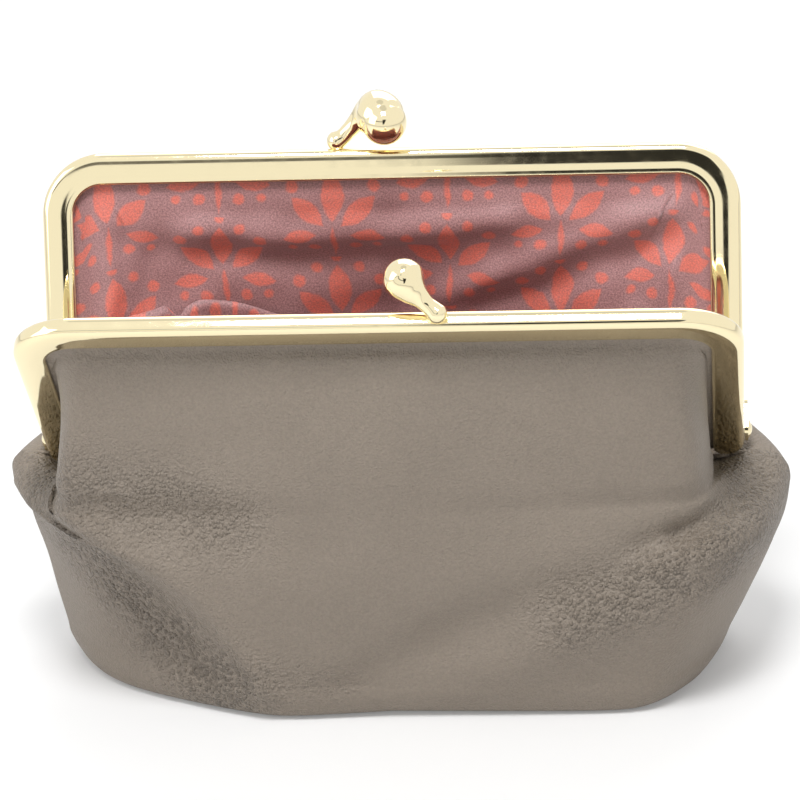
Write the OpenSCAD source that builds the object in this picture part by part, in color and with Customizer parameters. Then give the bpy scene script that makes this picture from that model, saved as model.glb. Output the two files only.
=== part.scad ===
/* [Frame] */
// Width over the outer edges of the frame's legs
frame_w = 152; // [140:1:165]
// Height of each frame half above the hinge axis
frame_h = 62.3; // [56:0.1:70]
// Width of the channel's face
face_w = 6.8; // [6.4:0.1:8]
// Thickness of one frame half over its two cheeks
channel_t = 4.6; // [4.6:0.1:5.6]
// Thickness of the brass strip that the channel is rolled from
strip_t = 0.75; // [0.6:0.05:0.85]
// Outer radius of the frame's two upper corners
corner_r = 13.5; // [12:0.5:18]
// Radius of the long edges on the channel's back
edge_r = 1.6; // [1.2:0.1:2]
// Length of the leg below the hinge axis
leg_below = 3; // [2.8:0.1:3.4]

/* [Open pose] */
// Forward lean of the front half from upright
front_lean = 43.7; // [38:0.1:50]
// Backward lean of the back half from upright
back_lean = 14.6; // [10:0.1:20]

/* [Hinge] */
// Radius of the round ear about the hinge axis
ear_r = 2.6; // [2.3:0.1:2.8]
// Radius of the hinge rivet's shank
rivet_r = 0.95; // [0.7:0.05:1.1]
// Radius of the hinge rivet's domed head
rivet_head_r = 2.1; // [1.8:0.1:2.5]
// Height of the hinge rivet's domed head
rivet_head_h = 0.9; // [0.6:0.1:1.4]
// Thickness of the ear plate soldered to the back half
plate_t = 0.75; // [0.6:0.05:1]
// Length of the ear plate above the hinge axis
plate_h = 9; // [8:0.5:12]
// Gap between the back half's leg end and the hinge axis
back_leg_cut = 3.4; // [3.3:0.1:4.2]

/* [Clasp] */
// Radius of the kissing balls
ball_r = 4; // [3.6:0.1:4.2]
// Radius of the small ball at the foot of each clasp
foot_r = 2.15; // [2:0.05:2.5]
// Radius of the arm where it leaves the foot
arm_r = 1.8; // [1.5:0.1:2]
// Distance of the front clasp's foot from the middle of the bar
front_foot_x = 13.7; // [12:0.1:16]
// Distance of the front clasp's ball from the middle of the bar
front_ball_x = 7; // [6.5:0.1:8]
// Distance of the back clasp's foot from the middle of the bar
back_foot_x = 11.2; // [9.5:0.1:14]
// Distance of the back clasp's ball from the middle of the bar
back_ball_x = 0.2; // [-1:0.1:1]
// Radius of the clasp rivets' shanks
clasp_rivet_r = 0.75; // [0.5:0.05:0.85]

/* [Bag] */
// Height of the hinge axis above the table
hinge_z = 50; // [48:0.5:54]
// Width over the two bulges below the hinges
belly_w = 171; // [164:1:178]
// Height of the widest place above the table
belly_z = 38; // [35:0.5:39]
// Width of the bag where it meets the table
base_w = 133; // [124:1:138]
// Reach of the front panel at the belly, from the hinge axis
front_belly = 44; // [40:0.5:48]
// Reach of the back panel at the belly, from the hinge axis
back_belly = 29; // [26:0.5:34]
// Reach of the front panel at the table, from the hinge axis
front_base = 38; // [34:0.5:42]
// Reach of the back panel at the table, from the hinge axis
back_base = 22.5; // [20:0.5:27]
// Place of the bottom seam in front of the hinge axis
seam_front = 5; // [3:0.5:7]
// Radius of the bag's lower edge
foot_edge_r = 4; // [3:0.5:6]
// Outward bulge of the front panel above the hinges
front_bulge = 0.6; // [0:0.1:3]
// Outward bulge of the back panel above the hinges
back_bulge = 1.6; // [0:0.1:4]
// Thickness of the leather
leather_t = 0.8; // [0.6:0.05:0.85]
// Thickness of the fusible interlining
interlining_t = 0.35; // [0.2:0.05:0.4]
// Thickness of the satin lining
lining_t = 0.3; // [0.2:0.05:0.35]
// Width of the seam allowances turned to the inside
allowance = 5; // [3.5:0.5:6]
// Depth that the panels reach into the channel
tuck = 4.8; // [4:0.1:4.9]

/* [Slip pocket] */
// Height of the pocket's top edge above the hinge axis
pocket_top = 27; // [22:0.5:32]
// Distance of the divider stitching from the middle, towards the left
divider_x = 57; // [50:0.5:60]
// Distance between two stitches
stitch_pitch = 4; // [3:0.5:6]
// Radius of the sewing thread
thread_r = 0.22; // [0.15:0.01:0.3]

/* [Hidden] */
$fn = 48;

gold = "#e8d5a0";
brown_paper = "#b08d57";
taupe = "#8c8276";
fleece = "#e6e0d6";
plum = "#7a4a50";
plum_light = "#9a5a5c";
grey_thread = "#6e675e";

FRONT = 0;
BACK = 1;
eps = 0.01;
play = 0.05;
plate_gap = 0.1;
mate_gap = 0.15;
half_w = frame_w / 2;
corner_x = half_w - corner_r;
corner_v = frame_h - corner_r;
mouth_out = 1;
layer_gap = 0.2;
panel_q = channel_t + mate_gap - strip_t - layer_gap;
lining_in = leather_t + interlining_t + 0.2;
cord_r = 0.5;
cord_q = strip_t + 0.1 + cord_r;
cord_in = face_w / 2 + 0.2;
peen_r = 1.6;
peen_t = 0.8;
ball_up = 4.4;
ball_over = 4.3;
foot_q = mate_gap + channel_t / 2;
foot_up = 1.7;
clasp_rivet_wide = 1.2;
clasp_rivet_top = 0.95;
clasp_rivet_head = 0.7;
clasp_bore_up = 1.9;
clasp_cut = 20;
front_neck_rise = ball_r * 0.6;
back_neck_rise = ball_r * 1.1;

function lean(side) = side == FRONT ? front_lean : back_lean;
function out(side) = side == FRONT ? -1 : 1;

// A place in a frame half, across x, up the leg v and outwards q, becomes a place in space
function on_half(side, x, v, q) = [
    x,
    q * cos(lean(side)) + v * sin(lean(side)),
    hinge_z + v * cos(lean(side)) - q * sin(lean(side))
];
function to_world(side, p) = [p[0], out(side) * p[1], p[2]];

// Frame halves, drawn flat with x across, y up the legs and z from the mating face outwards
module round_back_block(x0, x1, y0, y1, r) {
    translate([x0, y0]) square([x1 - x0 - r, y1 - y0]);
    translate([x0, y0 + r]) square([x1 - x0, y1 - y0 - 2 * r]);
    for (y = [y0 + r, y1 - r])
        translate([x1 - r, y]) circle(r);
}

module channel_section() {
    lip_r = strip_t / 2;
    difference() {
        round_back_block(corner_r - face_w + lip_r, corner_r, 0, channel_t, edge_r);
        round_back_block(corner_r - face_w - 1, corner_r - strip_t, strip_t, channel_t - strip_t,
                         edge_r - strip_t);
    }
    for (y = [lip_r, channel_t - lip_r])
        translate([corner_r - face_w + lip_r, y]) circle(lip_r);
}

module cord_section() {
    translate([corner_r - cord_in, cord_q]) circle(cord_r, $fn = 24);
}

// Sweeps a section round the bar, the two corners and the two legs
module u_sweep(leg_end) {
    for (side = [0, 1])
        mirror([side, 0, 0]) translate([corner_x, corner_v, mate_gap]) {
            rotate_extrude(angle = 90) children();
            rotate([90, 0, 0]) linear_extrude(height = corner_v - leg_end) children();
        }
    translate([-corner_x, corner_v, mate_gap]) rotate([0, 0, 90]) rotate([90, 0, 0])
        linear_extrude(height = 2 * corner_x) children();
}

module clasp_hole(x) {
    translate([x, frame_h - strip_t - 1, foot_q]) rotate([-90, 0, 0])
        cylinder(r = clasp_rivet_r + play, h = strip_t + 2);
}

module axis_rod(r, x0, x1) {
    translate([x0, 0, 0]) rotate([0, 90, 0]) cylinder(r = r, h = x1 - x0);
}

// The lower end of a front leg is cut round, and its mating cheek makes room for the rivet
module front_leg_cuts() {
    nose_r = face_w / 2;
    nose_v = nose_r - leg_below;
    difference() {
        translate([half_w - face_w - 1, -leg_below - 1, -1])
            cube([face_w + 2, nose_v + leg_below + 1, channel_t + 2]);
        translate([half_w - nose_r, nose_v, -2]) cylinder(r = nose_r, h = channel_t + 4);
    }
    translate([half_w - face_w - 1, -leg_below - 1, -1])
        cube([face_w + 1 - strip_t, leg_below + 1 + back_leg_cut, strip_t + mate_gap + 1.2]);
    axis_rod(peen_r + 0.3, half_w - strip_t - peen_t - 0.6, half_w - strip_t);
}

module front_half_flat() {
    difference() {
        union() {
            difference() {
                u_sweep(-leg_below) channel_section();
                for (side = [0, 1])
                    mirror([side, 0, 0]) front_leg_cuts();
            }
            for (side = [0, 1])
                mirror([side, 0, 0]) axis_rod(ear_r, half_w - strip_t, half_w);
        }
        axis_rod(rivet_r + play, -half_w - 1, half_w + 1);
        clasp_hole(front_foot_x);
    }
}

// The ear plate lies outside the leg and carries the hinge rivet
module ear_plate() {
    edge = 0.5;
    pad_h = 3;
    plate_low = back_leg_cut + 1;
    translate([half_w + plate_gap, 0, 0]) rotate([90, 0, 90]) linear_extrude(height = plate_t) {
        circle(ear_r);
        polygon([
            [0, -ear_r], [plate_low, edge], [plate_h, edge],
            [plate_h, channel_t - edge], [plate_low, channel_t - edge], [0, ear_r]
        ]);
    }
    translate([half_w - eps, plate_h - edge - pad_h, channel_t * 0.3])
        cube([plate_gap + 2 * eps, pad_h, channel_t * 0.4]);
}

module back_half_flat() {
    difference() {
        union() {
            u_sweep(back_leg_cut) channel_section();
            for (side = [0, 1])
                mirror([side, 0, 0]) ear_plate();
        }
        axis_rod(rivet_r + play, -half_w - 3, half_w + 3);
        clasp_hole(back_foot_x);
    }
}

module place_half(side) {
    translate([0, 0, hinge_z]) rotate([-out(side) * lean(side), 0, 0]) rotate([90, 0, side == FRONT ? 0 : 180])
        children();
}

module front_frame() {
    color(gold) place_half(FRONT) front_half_flat();
}

module back_frame() {
    color(gold) place_half(BACK) back_half_flat();
}

// A kissing clasp is a ball on a swan-neck arm that rises from a small ball foot
module clasp_flat(foot_x, ball_x, rise) {
    foot = [foot_x, frame_h + foot_up, foot_q];
    ball = [ball_x, frame_h + ball_up, -ball_over];
    knee = [ball_x * 0.75 + foot_x * 0.25, frame_h + ball_up + rise, -ball_over * 0.55];
    neck = foot * 0.55 + knee * 0.45;
    root = foot * 0.85 + knee * 0.15;
    stops = [[foot, foot_r], [root, arm_r], [neck, (arm_r + ball_r) * 0.42], [knee, ball_r * 0.88], [ball, ball_r]];
    difference() {
        union() {
            for (i = [0:len(stops) - 2])
                hull() {
                    translate(stops[i][0]) sphere(stops[i][1], $fn = 20);
                    translate(stops[i + 1][0]) sphere(stops[i + 1][1], $fn = 20);
                }
            translate(ball) sphere(ball_r);
            translate(foot) sphere(foot_r);
        }
        translate([foot_x - clasp_cut / 2, frame_h - clasp_cut, foot_q - clasp_cut / 2]) cube(clasp_cut);
        translate([foot_x, frame_h - 1, foot_q]) rotate([-90, 0, 0])
            cylinder(r = clasp_rivet_r + play, h = 1 + clasp_bore_up);
    }
}

module front_clasp() {
    color(gold) place_half(FRONT) clasp_flat(front_foot_x, front_ball_x, front_neck_rise);
}

module back_clasp() {
    color(gold) place_half(BACK) clasp_flat(back_foot_x, back_ball_x, back_neck_rise);
}

module clasp_rivet_flat(x) {
    translate([x, frame_h - strip_t - clasp_rivet_head - play, foot_q]) rotate([-90, 0, 0]) {
        cylinder(r1 = clasp_rivet_wide, r2 = clasp_rivet_top, h = clasp_rivet_head);
        cylinder(r = clasp_rivet_r, h = clasp_rivet_head + strip_t + clasp_bore_up);
    }
}

module front_clasp_rivet() {
    color(gold) place_half(FRONT) clasp_rivet_flat(front_foot_x);
}

module back_clasp_rivet() {
    color(gold) place_half(BACK) clasp_rivet_flat(back_foot_x);
}

// Hinge rivet on the axis, with its dome outside and its peened end inside the leg
module hinge_rivet_right() {
    shank_start = half_w - strip_t - play;
    shank_end = half_w + plate_gap + plate_t;
    dome_r = (rivet_head_r * rivet_head_r + rivet_head_h * rivet_head_h) / (2 * rivet_head_h);
    dome_turn = asin(rivet_head_r / dome_r);
    translate([0, 0, hinge_z]) rotate([0, 90, 0]) rotate_extrude() polygon(concat(
        [[0, shank_start - peen_t], [peen_r, shank_start - peen_t], [peen_r, shank_start],
         [rivet_r, shank_start], [rivet_r, shank_end]],
        [for (k = [0:8]) let (a = dome_turn * (1 - k / 8))
            [k == 8 ? 0 : dome_r * sin(a), shank_end + rivet_head_h - dome_r + dome_r * cos(a)]]
    ));
}

module left_hinge_rivet() {
    color(gold) mirror([1, 0, 0]) hinge_rivet_right();
}

module right_hinge_rivet() {
    color(gold) hinge_rivet_right();
}

// Twisted paper cord that wedges the panels into the channel
module front_paper_cord() {
    color(brown_paper) place_half(FRONT) u_sweep(back_leg_cut + 2) cord_section();
}

module back_paper_cord() {
    color(brown_paper) place_half(BACK) u_sweep(back_leg_cut + 2) cord_section();
}

// Shape of the bag. Each panel is a net of rows, from the bottom seam up to the channel,
// and each row runs from the left side over the middle to the right side.
cols_half = 10;
arc_cols = 4;
rows_upper = 6;
ear_top_x = 74;
ear_top_z = hinge_z - 4;
leg_exit_v = -leg_below - 1.4;
leg_tuck_v = back_leg_cut + 1.2;
mouth_x = half_w - face_w - mouth_out;

// Part of the way from the base's half width to the belly's, at parts of the belly's height
LEFT = 0;
RIGHT = 1;
width_parts = [
    [[0, 0.05], [0.13, 0.263], [0.39, 0.468], [0.6, 0.589], [0.82, 0.72], [1, 0.83]],
    [[0, -0.03], [0.11, 0.184], [0.24, 0.353], [0.37, 0.52], [0.53, 0.69], [0.68, 0.837], [0.84, 0.963], [1, 1.01]]
];
// Where a row turns from the side to the face, at parts of the belly's height: the side's part of the half width and
// of the reach, then the corner's
turn_parts = [
    [
        [[0, 0.904, 0.526, 0.385, 1], [0.24, 0.877, 0.52, 0.397, 1], [0.6, 0.875, 0.54, 0.45, 0.99],
         [0.82, 0.89, 0.577, 0.524, 0.99], [1, 0.911, 0.59, 0.644, 0.96]],
        [[0, 1, 0.526, 0.818, 0.974], [0.24, 0.984, 0.55, 0.806, 0.99], [0.53, 0.974, 0.548, 0.804, 0.995],
         [0.82, 0.97, 0.51, 0.805, 0.97], [1, 0.968, 0.5, 0.81, 0.943]]
    ],
    [
        [[0, 1.126, 0.27, 0.92, 1.07], [0.24, 1.09, 0.27, 0.904, 1.03], [0.53, 1.07, 0.284, 0.883, 1.03],
         [0.82, 1.066, 0.31, 0.873, 1.035], [1, 1.05, 0.345, 0.86, 1.034]],
        [[0, 1.16, 0.27, 0.94, 1.07], [0.24, 1.1, 0.27, 0.9, 1.04], [0.53, 1.06, 0.284, 0.854, 1.03],
         [0.82, 1.04, 0.31, 0.83, 1.035], [1, 1.02, 0.345, 0.83, 1.034]]
    ]
];
// The same two turns where a row leaves the leg, then just above: parts of the way from the mouth to the belly's
// edge, of the reach, and of the belly's height above the hinge axis
leave_parts = [
    [
        [[0.185, 0.318, -0.105], [0.139, 0.84, -0.066], [0.173, 0.43, 0.04], [0.104, 0.875, 0.06]],
        [[0.058, 0.318, -0.079], [-0.023, 0.864, -0.013], [0.023, 0.43, 0.053], [-0.058, 0.875, 0.079]]
    ],
    [
        [[0.769, 0.38, 0.105], [0.22, 0.9, 0.066], [0.566, 0.48, 0.21], [0.104, 0.9, 0.184]],
        [[0.653, 0.38, 0.092], [0.22, 0.9, 0.066], [0.45, 0.48, 0.21], [0.104, 0.9, 0.184]]
    ]
];
// Ends of the rows over the ear: parts of the way from the leg to the belly's edge, and up to the ear's top
ear_parts = [
    [[0.92, 0.61], [0.65, 1], [0, 0.8]],
    [[0.97, 0.44], [0.54, 0.78], [0, 0.73]]
];
turn_at = [0, 0.24, 0.52, 1];
turn_soft = [[0.16, 0.1], [0.22, 0.2]];
bulge_fade = [0.55, 0.16];

function part_of(table, z, k) = lookup(z / belly_z, [for (t = table) [t[0], t[k]]]);
function side_x(hand, z) = base_w / 2 + (belly_w - base_w) / 2 * part_of(width_parts[hand], z, 1);
function swell(z) = sin(90 * pow(min(z / belly_z, 1), 0.8));
function reach(side, z) = side == FRONT
    ? front_base + (front_belly - front_base) * swell(z)
    : back_base + (back_belly - back_base) * swell(z);
function seam_y(side, z) = -out(side) * seam_front * max(0, 1 - z / ear_top_z) + 0.05;
function foot_inset(z) = z >= foot_edge_r ? 0 : foot_edge_r - sqrt(pow(foot_edge_r, 2) - pow(foot_edge_r - z, 2));

function bend(t, at, soft) = (t - at + norm([t - at, soft])) / 2;
function settled(t, at, soft) = bend(t, at, soft) - bend(0, at, soft) * (1 - t) - (bend(1, at, soft) - 1 + at) * t;

// Half a row from its side end to the middle, straight between two rounded turns
function row_curve(side, p) =
    let (runs = [for (k = [0:2]) (p[k + 1] - p[k]) / (turn_at[k + 1] - turn_at[k])])
        [
            for (i = [0:cols_half])
                let (t = i / cols_half)
                    p[0] + runs[0] * t
                    + (runs[1] - runs[0]) * settled(t, turn_at[1], turn_soft[side][0])
                    + (runs[2] - runs[1]) * settled(t, turn_at[2], turn_soft[side][1])
        ];

function seam_row(side, hand) = [
    for (i = [0:cols_half]) [(side_x(hand, 0) - foot_edge_r - 1) * (1 - i / cols_half), seam_y(side, 0), 0]
];
function inset(p, z) = [p[0], p[1], 0] * (1 - foot_inset(z) / norm([p[0], p[1]])) + [0, 0, z];
function wall_turn(side, hand, z, k) =
    let (table = turn_parts[side][hand])
        [side_x(hand, z) * part_of(table, z, k), reach(side, z) * part_of(table, z, k + 1), z];
function wall_row(side, hand, z) = row_curve(side, [
    inset([side_x(hand, z), seam_y(side, z)], z), inset(wall_turn(side, hand, z, 1), z),
    inset(wall_turn(side, hand, z, 3), z), inset([0, reach(side, z)], z)
]);
function belly(side) = side == FRONT ? front_belly : back_belly;
function leave_turn(side, hand, k) =
    let (p = leave_parts[side][hand][k])
        [mouth_x + (belly_w / 2 - mouth_x) * p[0], belly(side) * p[1], hinge_z + belly_z * p[2]];
function ear_row(side, hand, k) =
    let (e = ear_parts[hand][k], t = (k + 0.5) / 3, z = belly_z + (ear_top_z - belly_z) * e[1],
         mid_z = belly_z + 2 + (hinge_z - belly_z - 3) * t)
        row_curve(side, [
            [ear_top_x + (belly_w / 2 - ear_top_x) * e[0], seam_y(side, z), z],
            (wall_turn(side, hand, belly_z, 1) + [0, 0, 3]) * (1 - t) + leave_turn(side, hand, 0) * t,
            (wall_turn(side, hand, belly_z, 3) + [0, 0, 2]) * (1 - t) + leave_turn(side, hand, 1) * t,
            [0, belly(side), mid_z]
        ]);
function exit_row(side, hand) = row_curve(side, [
    on_half(side, mouth_x, leg_exit_v, panel_q), leave_turn(side, hand, 0), leave_turn(side, hand, 1),
    [0, belly(side), hinge_z]
]);
function leg_row(side, hand, w) =
    let (end = on_half(side, mouth_x, leg_tuck_v, panel_q), mid = [0, belly(side), hinge_z + 4],
         stays = exp(-w / bulge_fade[side]))
        row_curve(side, [
            end,
            leave_turn(side, hand, 2) * stays + (end * 0.9 + mid * 0.1) * (1 - stays),
            leave_turn(side, hand, 3) * stays + (end * 0.6 + mid * 0.4) * (1 - stays),
            mid
        ]);

// The path round the frame at a depth below its outer edge, level with the rows' columns
function frame_path(side, depth) = [
    for (i = [0:cols_half])
        let (a = 90 * min(1, i / arc_cols), s = max(0, (i - arc_cols) / (cols_half - arc_cols)), r = corner_r - depth)
            on_half(side, (corner_x + r * cos(a)) * (1 - s), corner_v + r * sin(a), panel_q)
];
function upper_row(side, hand, w) =
    let (low = leg_row(side, hand, w), high = frame_path(side, face_w + mouth_out),
         bulge = (side == FRONT ? front_bulge : back_bulge) * w * pow(1 - w, 2) * 27 / 4)
        [
            for (i = [0:cols_half])
                low[i] * (1 - w) + high[i] * w + [0, bulge * pow(sin(90 * i / cols_half), 2), 0]
        ];

wall_z = [0, 0.3 * foot_edge_r, foot_edge_r, 0.37 * belly_z, 0.58 * belly_z, 0.79 * belly_z, belly_z];
low_rows = len(wall_z) + 5;

function half_rows(side, hand) = concat(
    [seam_row(side, hand)],
    [for (z = wall_z) wall_row(side, hand, z)],
    [for (k = [0:2]) ear_row(side, hand, k)],
    [exit_row(side, hand)],
    [for (k = [0:rows_upper]) upper_row(side, hand, k / rows_upper)]
);

// The edge strip beside each row: a seam allowance below the hinge, a tuck in the channel above
function edge_point(side, j, rows) =
    let (end = rows[j][0], a = 85 * exp(-max(end[2], 0) / 5), taper = j == low_rows - 2 ? 0.2 : 1)
        j < low_rows - 1 ? end + allowance * taper * [-cos(a), 0, sin(a)]
        : j == low_rows - 1 ? end + [0.8, 0, 0]
        : end + [mouth_out + tuck, 0, 0] + up_leg(side, j == len(rows) - 1 ? -3 : 0);

function mirrored(p) = [-p[0], p[1], p[2]];
function full_row(left, right, left_edge, right_edge) = concat(
    [mirrored(left_edge)],
    [for (i = [0:cols_half]) mirrored(left[i])],
    [for (i = [cols_half - 1:-1:0]) right[i]],
    [right_edge]
);

function raised(row, dz, dx) = [for (p = row) [p[0] * dx, p[1], p[2] + dz]];
function both(side, left, right, step) =
    full_row(raised(left, step[0], step[1]), raised(right, step[0], step[1]), left[0] + step[2], right[0] + step[2]);

function panel_net(side) =
    let (left = half_rows(side, LEFT), right = half_rows(side, RIGHT), deep = frame_path(side, face_w - tuck))
        concat(
            [both(side, left[0], right[0], [4, 0.965, [-1.2, 0, 4.5]])],
            [
                for (j = [0:len(left) - 1])
                    full_row(left[j], right[j], edge_point(side, j, left), edge_point(side, j, right))
            ],
            [both(side, deep, deep, [0, 1, up_leg(side, -1.2)])]
        );
function up_leg(side, v) = on_half(side, 0, v, 0) - on_half(side, 0, 0, 0);

n_rows = low_rows + rows_upper + 3;
n_cols = 2 * cols_half + 3;

function unit(v) = v / max(norm(v), 1e-9);
function normal_at(net, j, i, side) =
    let (du = net[j][min(i + 1, n_cols - 1)] - net[j][max(i - 1, 0)],
         dv = net[min(j + 1, n_rows - 1)][i] - net[max(j - 1, 0)][i])
        unit(cross(dv, du));
function shifted(net, side, d) = [
    for (j = [0:n_rows - 1]) [for (i = [0:n_cols - 1]) net[j][i] - d * normal_at(net, j, i, side)]
];

// A closed sheet between an outer and an inner net of points
module sheet(side, outer, inner) {
    nr = len(outer);
    nc = len(outer[0]);
    count = nr * nc;
    function at(j, i) = j * nc + i;
    function turned(f) = side == FRONT ? f : [f[2], f[1], f[0]];
    quads = [
        for (j = [0:nr - 2]) for (i = [0:nc - 2])
            i < (nc - 1) / 2 ? [at(j, i), at(j + 1, i), at(j + 1, i + 1), at(j, i + 1)]
            : [at(j + 1, i), at(j + 1, i + 1), at(j, i + 1), at(j, i)]
    ];
    rims = concat(
        [for (i = [0:nc - 2]) [at(0, i), at(0, i + 1)]],
        [for (i = [0:nc - 2]) [at(nr - 1, i + 1), at(nr - 1, i)]],
        [for (j = [0:nr - 2]) [at(j + 1, 0), at(j, 0)]],
        [for (j = [0:nr - 2]) [at(j, nc - 1), at(j + 1, nc - 1)]]
    );
    points = [for (net = [outer, inner]) for (row = net) for (p = row) to_world(side, p)];
    faces = concat(
        [for (q = quads) for (f = [[q[0], q[1], q[2]], [q[0], q[2], q[3]]]) turned(f)],
        [for (q = quads) for (f = [[q[0], q[2], q[1]], [q[0], q[3], q[2]]]) turned([for (k = f) k + count])],
        [for (r = rims) for (f = [[r[0], r[1], r[1] + count], [r[0], r[1] + count, r[0] + count]]) turned(f)]
    );
    polyhedron(points, faces, convexity = 8);
}

function block(net, j0, j1, i0, i1) = [for (j = [j0:j1]) [for (i = [i0:i1]) net[j][i]]];

module layer(side, net, depth, thick, less_rows = 0, less_cols = 0, less_top = 0) {
    j1 = n_rows - 1 - less_top;
    i1 = n_cols - 1 - less_cols;
    sheet(side, block(shifted(net, side, depth), less_rows, j1, less_cols, i1),
          block(shifted(net, side, depth + thick), less_rows, j1, less_cols, i1));
}

front_net = panel_net(FRONT);
back_net = panel_net(BACK);

module outer_front_panel() {
    color(taupe) layer(FRONT, front_net, 0, leather_t);
}

module outer_back_panel() {
    color(taupe) layer(BACK, back_net, 0, leather_t);
}

module front_interlining() {
    color(fleece) layer(FRONT, front_net, leather_t + 0.05, interlining_t, 3, 2, 2);
}

module back_interlining() {
    color(fleece) layer(BACK, back_net, leather_t + 0.05, interlining_t, 3, 2, 2);
}

module front_lining() {
    color(plum) layer(FRONT, front_net, lining_in, lining_t);
}

module back_lining() {
    color(plum) layer(BACK, back_net, lining_in, lining_t);
}

// The slip pocket is one more sheet of satin on the inside of the back lining
pocket_depth = lining_in + lining_t + 0.1;
pocket_first_row = 5;
leg_row_at = low_rows + 1;
pocket_end_row = leg_row_at + rows_upper * (pocket_top - 2) / 51;
pocket_whole_row = ceil(pocket_end_row) - 1;

function net_row(net, t) =
    let (j = min(floor(t), len(net) - 2), f = t - j)
        [for (i = [0:len(net[j]) - 1]) net[j][i] * (1 - f) + net[j + 1][i] * f];
function pocket_net(depth) =
    let (net = block(shifted(back_net, BACK, depth), 0, n_rows - 1, 2, n_cols - 3))
        concat([for (j = [pocket_first_row:pocket_whole_row]) net[j]], [net_row(net, pocket_end_row)]);

module slip_pocket() {
    color(plum_light) sheet(BACK, pocket_net(pocket_depth), pocket_net(pocket_depth + lining_t));
}

// Running stitches: a leg through the layers at every point, and a run of thread between the points
module rod(a, b, r) {
    d = b - a;
    translate(a) rotate([0, acos(d[2] / norm(d)), atan2(d[1], d[0])]) cylinder(r = r, h = norm(d), $fn = 12);
}

module stitches(points, across, legs) {
    for (k = [0:len(points) - 1])
        rod(points[k] - across[k] * legs[0], points[k] + across[k] * legs[1], thread_r * 0.9);
    for (k = [0:len(points) - 2]) {
        end = k % 2 == 0 ? legs[1] : -legs[0];
        rod(points[k] + across[k] * end, points[k + 1] + across[k + 1] * end, thread_r);
    }
}

function at_x(row, x) =
    let (i = [for (k = [0:len(row) - 2]) if (row[k][0] <= x && row[k + 1][0] > x) k][0],
         f = (x - row[i][0]) / (row[i + 1][0] - row[i][0]))
        row[i] * (1 - f) + row[i + 1] * f;

module pocket_stitching() {
    top = pocket_net(pocket_depth + lining_t);
    low = pocket_net(pocket_depth - 0.2);
    line = [for (row = top) at_x(row, -divider_x)];
    under = [for (row = low) at_x(row, -divider_x)];
    count = 2 * floor((pocket_top + 20) / stitch_pitch / 2) + 1;
    ends = [for (k = [0:count - 1]) 1 + k * (len(line) - 2) / (count - 1)];
    points = [for (t = ends) to_world(BACK, net_row([for (p = line) [p]], t)[0])];
    feet = [for (t = ends) to_world(BACK, net_row([for (p = under) [p]], t)[0])];
    across = [for (k = [0:count - 1]) unit(points[k] - feet[k])];
    color(grey_thread) stitches(points, across, [0.3, thread_r]);
}

leg_len = leather_t + play + thread_r;

function side_stitch(hand, k, count) =
    let (z = 7 + k * (ear_top_z - 9 - 7) / (count - 1))
        [side_x(hand, z) - allowance * 0.55, -seam_front * max(0, 1 - z / ear_top_z), z];

module side_stitching(hand) {
    count = max(3, round((ear_top_z - 16) / stitch_pitch) + 1);
    stitches([for (k = [0:count - 1]) side_stitch(hand, k, count)], [for (k = [0:count - 1]) [0, 1, 0]],
             [leg_len, leg_len]);
}

module left_side_stitching() {
    color(grey_thread) mirror([1, 0, 0]) side_stitching(LEFT);
}

module right_side_stitching() {
    color(grey_thread) side_stitching(RIGHT);
}

module bottom_stitching() {
    half = base_w / 2 - foot_edge_r - 4;
    count = 2 * round(half / stitch_pitch) + 1;
    color(grey_thread) stitches(
        [for (k = [0:count - 1]) [-half + 2 * half * k / (count - 1), -seam_front, 2]],
        [for (k = [0:count - 1]) [0, 1, 0]],
        [leg_len, leg_len]
    );
}

front_frame();
back_frame();
front_clasp();
back_clasp();
front_clasp_rivet();
back_clasp_rivet();
left_hinge_rivet();
right_hinge_rivet();
front_paper_cord();
back_paper_cord();
outer_front_panel();
outer_back_panel();
front_interlining();
back_interlining();
front_lining();
back_lining();
slip_pocket();
pocket_stitching();
left_side_stitching();
right_side_stitching();
bottom_stitching();
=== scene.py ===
import math

import bmesh
import bpy
import numpy as np
from bmesh.types import BMEdge, BMVert
from bpy.props import FloatProperty, FloatVectorProperty, PointerProperty
from mathutils import Matrix, Vector


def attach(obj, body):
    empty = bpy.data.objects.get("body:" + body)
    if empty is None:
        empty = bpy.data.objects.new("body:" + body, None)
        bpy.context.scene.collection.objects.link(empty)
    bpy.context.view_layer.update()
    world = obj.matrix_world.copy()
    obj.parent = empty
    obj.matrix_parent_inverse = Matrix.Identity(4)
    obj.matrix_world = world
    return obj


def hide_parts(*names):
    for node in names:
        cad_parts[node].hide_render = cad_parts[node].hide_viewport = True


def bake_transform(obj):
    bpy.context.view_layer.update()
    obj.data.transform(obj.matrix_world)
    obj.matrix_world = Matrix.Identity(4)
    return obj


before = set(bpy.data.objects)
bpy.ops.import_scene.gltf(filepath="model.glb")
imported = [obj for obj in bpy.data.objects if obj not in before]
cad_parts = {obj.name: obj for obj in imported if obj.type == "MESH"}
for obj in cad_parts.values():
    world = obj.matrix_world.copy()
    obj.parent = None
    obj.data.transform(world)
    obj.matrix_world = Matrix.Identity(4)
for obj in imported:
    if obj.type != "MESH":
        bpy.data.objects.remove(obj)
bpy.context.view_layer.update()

bl_info = {
    "name": "Kiss lock frame purse",
    "version": (1, 0, 0),
    "blender": (4, 5, 0),
    "location": "3D View > Sidebar > Purse",
    "description": "Builds the looks of an open kiss lock purse on its CAD frame",
    "category": "Object",
}

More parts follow.
